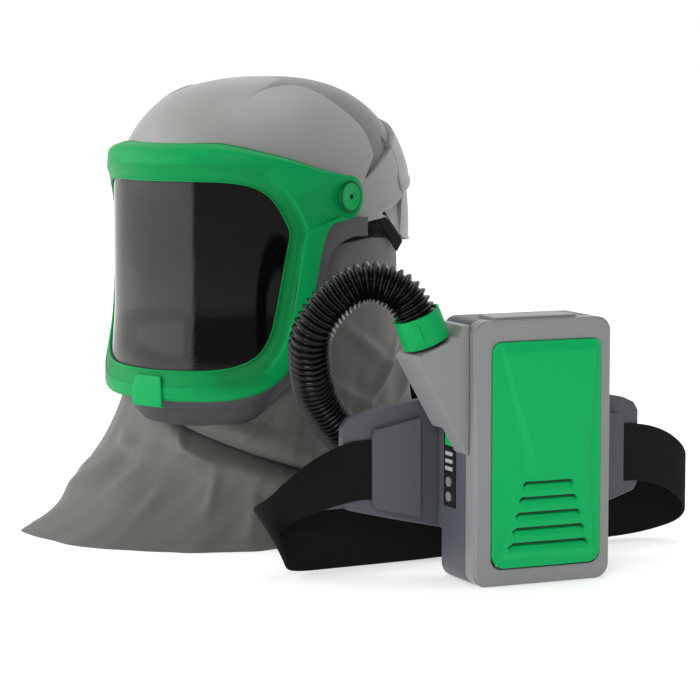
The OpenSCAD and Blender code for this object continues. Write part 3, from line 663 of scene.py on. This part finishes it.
def filter_door():
    nx, nz = 150, 420
    u, v = np.meshgrid(np.linspace(-1, 1, nx), np.linspace(-1, 1, nz))
    cx, cz = (DOOR["x0"] + DOOR["x1"]) / 2, (DOOR["z0"] + DOOR["z1"]) / 2
    hx, hz, r = (DOOR["x1"] - DOOR["x0"]) / 2, (DOOR["z1"] - DOOR["z0"]) / 2, DOOR["r"]
    r = np.where(v < 0, 11.5, r)                             # rounder near the hinge
    x, z = u * hx, v * hz
    # pull the grid's corners in to a rounded rectangle
    ex, ez = np.maximum(np.abs(x) - (hx - r), 0) / r, np.maximum(np.abs(z) - (hz - r), 0) / r
    both = np.sqrt(ex**2 + ez**2)
    k = np.where((both > 0), np.maximum(ex, ez) / np.maximum(both, 1e-9), 1)
    x = np.sign(x) * np.where(ex > 0, hx - r + ex * r * k, np.abs(x)) + cx
    z = np.sign(z) * np.where(ez > 0, hz - r + ez * r * k, np.abs(z)) + cz
    y = door_depth(x, z)
    front = np.stack([x, y, z], -1)
    back = np.stack([x, np.full_like(x, 1.9), np.maximum(z, 17.4)], -1)
    verts = np.vstack([blow(front).reshape(-1, 3), blow(back).reshape(-1, 3)])
    n = nx * nz
    faces = strips(nz, nx, False) + [tuple(reversed(f)) for f in strips(nz, nx, False, n)]
    rim = [i for i in range(nx)] + [r_ * nx + nx - 1 for r_ in range(1, nz)] + \
        [(nz - 1) * nx + i for i in range(nx - 2, -1, -1)] + [r_ * nx for r_ in range(nz - 2, 0, -1)]
    faces += [(i, j, j + n, i + n) for i, j in zip(rim, rim[1:] + rim[:1])]
    o = piece("filter_door_skin", verts, faces, "door", body="filter_door", slot="green",
              nodes=("filter_door",), angle=50)
    for i, (zc, w) in enumerate(vents()):
        s = [(-w * 0.95, -1.6), (-w * 0.84, 1.35), (w * 0.84, 1.35), (w * 0.95, -1.6), (w * 0.92, -1.6),
             (w * 0.81, 0.2), (-w * 0.81, 0.2), (-w * 0.92, -1.6)]
        s = np.array(s) + [VENT_X, zc]
        plate(f"vent_slot_{i}", s, -2.3, 1.0, "black", body="filter_door")
    return o


filter_door()


# ---------- side display ----------
def display():
    """A green field and three plain bars: lower and upper edge of each."""
    bars = ((108, 119, "lamp"), (100, 103, "mark"), (94, 97, "mark"), (88, 91, "mark"))
    for k, (z0, z1, look) in enumerate(bars):
        s = [(-62.0, z0), (-62.0, z1), (-61.2, z1), (-61.2, z0)]
        loops = [blow(np.stack([np.array([q[0] for q in s]), np.full(4, y), np.array([q[1] for q in s])], -1))
                 for y in (37.0, 49.0)]
        loft(f"display_bar_{k}", loops, look)


display()


# ---------- hose ----------
HOSE_BLOWER = [(-87.6, 30, 192.7), (-96.5, 30, 213.9), (-110, 35, 233), (-133, 45, 240), (-156, 55, 226),
               (-170, 66, 199), (-165, 81, 170), (-150, 101, 143), (-121, 121, 112), (-87, 134, 86),
               (-50, 140, 70), (-10, 165, 50)]
HOSE_HELM = [(190, 65, 30), (176, 125, 19), (140, 172, 18.5), (95, 205, 30), (50, 208, 60), (20, 190, 98),
             (8, 172, 135), (2, 156, 172), (0, 143.4, 203.4), (0, 137.8, 225.8)]


RIB_STEP = 0.0052                                            # metres from rib to rib


def hose():
    route = np.vstack([blow(HOSE_BLOWER), helm(HOSE_HELM)])
    mid = spline(route, 12)
    length = float(np.sum(np.linalg.norm(np.diff(mid, axis=0), axis=1)))
    ribs = round(length / RIB_STEP)
    per = 8                                                  # rings to a rib
    p = even(mid, ribs * per + 1)
    n, b = frames(p)
    wave = np.cos(2 * np.pi * np.arange(len(p)) / per)
    r = (14.9 + 1.8 * np.sign(wave) * np.abs(wave) ** 0.8) * MM
    a = np.linspace(0, 2 * np.pi, 48, endpoint=False)
    turn = np.cos(a)[None, :, None] * n[:, None] + np.sin(a)[None, :, None] * b[:, None]
    rings = p[:, None] + r[:, None, None] * turn
    o = loft("hose_skin", rings, "hose", slot="hose", nodes=("breathing_hose",), angle=70)
    return o


hose()


# ---------- belt webbing ----------
# stations of the belt: X, Y, middle height, outward lean of the upper edge in degrees
WEB_LEFT = [(-84, 70.8, 87, 0), (-112, 77.5, 87, 0), (-130, 82.6, 85, 0), (-150, 88, 78, 10),
            (-170, 92.5, 68, 23), (-183, 96, 57, 30), (-189, 101, 43, 35), (-187, 108, 33, 33),
            (-176, 114, 28, 22), (-157, 118, 25.6, 10), (-130, 120, 25.2, 3), (-90, 122, 25.2, 0),
            (-50, 125, 25.3, 0), (-26, 128, 25.5, 0)]
WEB_RIGHT = [(84, 70.8, 87, 0), (112, 77.5, 87, 0), (130, 82.8, 86, 0), (150, 88.5, 82, 0), (170, 95, 74, 0),
             (188, 104, 62, 0), (198, 116, 50, 0), (198, 130, 40, 0), (188, 142, 33, 0), (165, 148, 28, 0),
             (130, 146, 26.5, 0), (90, 140, 25.5, 0), (60, 135, 25.5, 0), (44, 132, 25.5, 0)]


def webbing():
    verts, faces = [], []
    for pts in (WEB_LEFT, WEB_RIGHT):
        p = even(spline(pts, 14), 220)
        lean = np.radians(p[:, 3])[:, None]
        p = p[:, :3]
        t = np.gradient(p, axis=0)
        n = np.stack([t[:, 1], -t[:, 0], np.zeros(len(t))], -1)
        n /= np.linalg.norm(n, axis=1)[:, None]
        up = -n * np.sin(lean) + np.array([0, 0, 1]) * np.cos(lean)
        out = n * np.cos(lean) + np.array([0, 0, 1]) * np.sin(lean)
        w = np.linspace(-24, 24, 97)
        rib = 0.78 + 0.17 * np.cos(np.pi * np.arange(97))
        rib[[0, -1]] = 0.45
        loop = [(w[i], rib[i]) for i in range(97)] + [(w[i], -rib[i]) for i in range(96, -1, -1)]
        rings = np.stack([p + up * a + out * b for a, b in loop], axis=1)
        base, m = len(verts), len(loop)
        verts += list(blow(rings).reshape(-1, 3))
        faces += strips(len(p), m, True, base)
        end = base + len(p) * m
        faces += [tuple(range(base, base + m)), tuple(reversed(range(end - m, end)))]
    return piece("webbing_skin", verts, faces, "web", slot="webbing", nodes=("belt_webbing",), angle=80)


webbing()


# ---------- cape ----------
TOP = [(-112, 112), (-95, 119), (-80, 135), (-64, 166), (-48, 216), (-38, 250), (-20, 256), (20, 260),
       (110, 252)]
NECK = [(-90, 102), (-60, 103), (-45, 104), (-30, 107), (0, 108), (22, 113), (42, 119), (60, 117),
        (75, 111), (90, 109)]
RIM = [(-180, 178), (-160, 186), (-145, 198), (-134, 211), (-116, 186), (-99, 166), (-78, 144), (-55, 122),
       (-41, 112), (0, 116), (45, 150), (90, 178), (135, 188), (180, 178)]
# soft ridges in the cloth: angle and height of each end, half width and height above the cloth, in mm
RIDGES = [(-92, 97, -83, 82, 4, 3.5), (-83, 82, -70, 73, 4, 3.5), (-67, 70, -70, 30, 6, 3.0),
          (-56, 92, -44, 112, 4, 3.0), (-140, 86, -118, 74, 6, 3.5), (-118, 74, -100, 80, 6, 3.0),
          (-128, 60, -150, 20, 9, 4.0), (-108, 58, -122, 14, 9, 3.5), (-92, 52, -98, 8, 8, 3.0),
          (-50, 50, -52, 8, 7, 3.0), (-30, 150, 12, 112, 6, 4.0), (-12, 190, 22, 150, 7, 4.0),
          (8, 120, 34, 168, 6, 4.0), (30, 110, 52, 160, 7, 4.0), (20, 228, 44, 200, 6, 3.0),
          (62, 180, 70, 70, 9, 4.0), (95, 190, 92, 60, 9, 4.0), (122, 150, 130, 50, 9, 4.0),
          (150, 200, 160, 60, 9, 4.0), (178, 150, 172, 40, 9, 4.0)]


def smooth_lookup(x, pairs, soft=4.0):
    """A lookup round the circle with its corners softened."""
    d = np.linspace(-2, 2, 17)
    w = np.exp(-d**2)
    total = 0
    for k, q in zip(d, w):
        total = total + q * lookup((x + k * soft + 180) % 360 - 180, pairs)
    return total / w.sum()


def ridge(f, z, f0, z0, f1, z1, wide, high):
    """A rounded ridge along a line drawn on the cape."""
    k = 2.6                                            # millimetres to a degree round the cape
    x, x0, x1 = f * k, f0 * k, f1 * k
    dx, dz = x1 - x0, z1 - z0
    t = np.clip(((x - x0) * dx + (z - z0) * dz) / (dx * dx + dz * dz), 0, 1)
    d = np.hypot(x - x0 - t * dx, z - z0 - t * dz)
    return high * np.exp(-(d / wide) ** 2) * np.sin(np.pi * np.clip(0.12 + 0.76 * t, 0, 1))


def cape():
    cols, rows = 480, 190
    f = np.linspace(-180, 180, cols, endpoint=False)[None, :]
    s = np.linspace(0, 1, rows)[:, None]
    fr = np.radians(f)
    neck = smooth_lookup(np.where(np.abs(f) > 90, np.sign(f + 1e-9) * 180 - f, f), NECK, 2.0)
    rim = smooth_lookup(f, RIM, 3.0)
    top = [(g, float(lookup(110 * math.sin(math.radians(g)), TOP))) for g in range(-180, 181, 3)]
    top = smooth_lookup(f, top, 2.0)
    z = top * (1 - s)
    front = step(-10, -60, f) * step(-179, -150, f)
    m = s ** (1.7 + 0.35 * front)
    r = neck + (rim - neck) * m
    amp = step(0.10, 0.85, s)
    soft = 1 - 0.45 * front
    r = r + amp * soft * (3.6 * np.cos(fr * 7 + 0.6) + 2.4 * np.cos(fr * 12 + 1.9 + 1.4 * s)
                          + 1.3 * np.cos(fr * 19 - 2.5 * s))
    # the cloth bellies out at the wearer's right, and its lower part tucks in under the upper at the left
    r = r + 11 * np.exp(-((f + 138) / 26) ** 2 - ((z - 50) / 17) ** 2)
    tuck_z = 100 - 0.55 * (f + 89)
    along = step(-101, -84, f) * step(2, -22, f)
    d = z - tuck_z
    r = r - 13 * along * np.exp(-(d / 7.5) ** 2) + 9 * along * np.exp(-((d - 16) / 9.0) ** 2) \
        + 7 * along * np.exp(-((d + 17) / 10.0) ** 2)
    z = z - 7 * along * np.exp(-((d - 9) / 7.0) ** 2)
    for q in RIDGES:
        r = r + ridge(f, z, *q)
    r = r + 0.9 * amp * np.sin(fr * 23 + 9 * s) * np.sin(s * 17 + fr * 5)
    low = top * (1 - s)
    hem = step(8.6, 8.0, low) * 0.9
    stitch = np.exp(-((low - 7.2) / 0.5) ** 2) * (0.4 + 0.25 * np.sign(np.sin(fr * 430)))
    r = r + hem - stitch
    p = np.stack([r * np.cos(fr), r * np.sin(fr) + 4 * (1 - m), z + 0 * r], -1)
    o = piece("cape_skin", helm(p), strips(rows, cols, True), "fabric", slot="fabric",
              nodes=("cape_front", "cape_left", "cape_right"), solid=1.2, angle=80)
    d = np.linalg.norm(np.diff(p, axis=0), axis=-1)
    return o


cape()


# ---------- chin guard and face frame ----------
GUARD_OUT = [(-150, 103), (-132, 103), (-118, 104.5), (-108, 107), (-96, 114), (-80, 132), (-63, 158),
             (-46, 218), (-40, 244), (-34, 254), (-12, 262), (9, 262.5)]
GUARD_IN = [(-150, 139), (-130, 139), (-118, 141), (-101, 148), (-84, 167), (-78, 186), (-67, 255),
            (-60, 276), (-48, 284), (-38, 281), (-14, 279), (9, 278.5)]


def face_frame():
    n = 150
    def flat(pairs):
        return spline([(float(arc_of(y)) if y > -149 else 0.0, z) for y, z in pairs], 12)
    lo, hi = even(flat(GUARD_OUT), n), even(flat(GUARD_IN), n)
    lo, hi = [np.vstack([q[::-1] * [-1, 1], q[1:]]) for q in (lo, hi)]
    t = np.concatenate([[0, 0.012], np.linspace(0.03, 1, 22)])
    rows = []
    for back in (False, True):
        for k in (t if not back else t[::-1]):
            q = lo + (hi - lo) * k
            chin = step(158, 105, np.abs(q[:, 0]))
            up = q[:, 1] - lo[:, 1] + 1
            slope = 29.0 * chin * np.clip(1 - up / 31.0, 0, 1) ** 1.05
            ledge = 1.3 * chin * step(15.5, 16.5, up)
            r = 118.0 - slope + ledge - (3.0 if back else 0) - (1.0 if k == 0 and not back else 0)
            rows.append(helm(on_visor(q[:, 0], q[:, 1], r)))
    rows = np.array(rows)
    m = rows.shape[1]
    faces = [(i * m + j, ((i + 1) % len(rows)) * m + j, ((i + 1) % len(rows)) * m + j + 1, i * m + j + 1)
             for i in range(len(rows)) for j in range(m - 1)]
    faces += [tuple(i * m for i in range(len(rows))),
              tuple(i * m + m - 1 for i in reversed(range(len(rows))))]
    piece("face_frame_skin", rows.reshape(-1, 3), faces, "dark", slot="dark", nodes=("face_frame",), angle=35)
    a = np.linspace(-19, 19, 14)
    slot = ((115.4, 98.5), (115.6, 102.2), (118.8, 105.0), (119, 101.5))
    rows = [helm(on_visor(a, np.full(14, z), r)) for z, r in slot]
    piece("chin_slot", np.array(rows), strips(4, 14, False), "black", slot="dark")


face_frame()


# ---------- stage ----------
def stage():
    """A plain pale floor and sweep, soft light from above and the left, and dimmer light on the right."""
    wide, deep, rise = 14.0, 10.0, 9.0
    away = np.array([-math.sin(VIEW_TURN), math.cos(VIEW_TURN)])
    side = np.array([math.cos(VIEW_TURN), math.sin(VIEW_TURN)])
    profile = [(-deep, 0.0), (2.2, 0.0)] + [(2.2 + 1.5 * math.sin(a), 1.5 - 1.5 * math.cos(a))
                                            for a in np.linspace(0.1, math.pi / 2, 14)] + [(3.7, rise)]
    rows = [[(*(away * d + side * w), z) for w in (-wide, wide)] for d, z in profile]
    me = bpy.data.meshes.new("floor")
    me.from_pydata([v for r in rows for v in r], [], strips(len(rows), 2, False))
    floor = bpy.data.objects.new("floor", me)
    bpy.context.scene.collection.objects.link(floor)
    me.shade_smooth()
    pale = material("floor_white", (0.86, 0.86, 0.86), 0.9, spec=0.0)
    pale.node_tree.nodes["Principled BSDF"].inputs["Emission Color"].default_value = (1, 1, 1, 1)
    pale.node_tree.nodes["Principled BSDF"].inputs["Emission Strength"].default_value = 0.42
    me.materials.append(pale)
    world = bpy.data.worlds.new("studio")
    bpy.context.scene.world = world
    world.use_nodes = True
    world.node_tree.nodes["Background"].inputs["Color"].default_value = (1, 1, 1, 1)
    world.node_tree.nodes["Background"].inputs["Strength"].default_value = 0.36
    lights = (("key", (-1.75, -1.75, 1.15), 3.6, 2.1, 46), ("front", (1.3, -2.2, 1.5), 0.7, 0.7, 13),
              ("over", (0.1, 0.3, 2.2), 1.6, 1.6, 15))
    for name, at, wide, high, power in lights:
        lamp = bpy.data.lights.new(name, "AREA")
        lamp.shape = "RECTANGLE"
        lamp.energy, lamp.size, lamp.size_y = power, wide, high
        o = bpy.data.objects.new(name, lamp)
        o.location = at
        o.rotation_euler = (Vector((0, 0, 0.18)) - Vector(at)).to_track_quat("-Z", "Y").to_euler()
        bpy.context.scene.collection.objects.link(o)
    bpy.context.scene.view_settings.view_transform = "Standard"


stage()
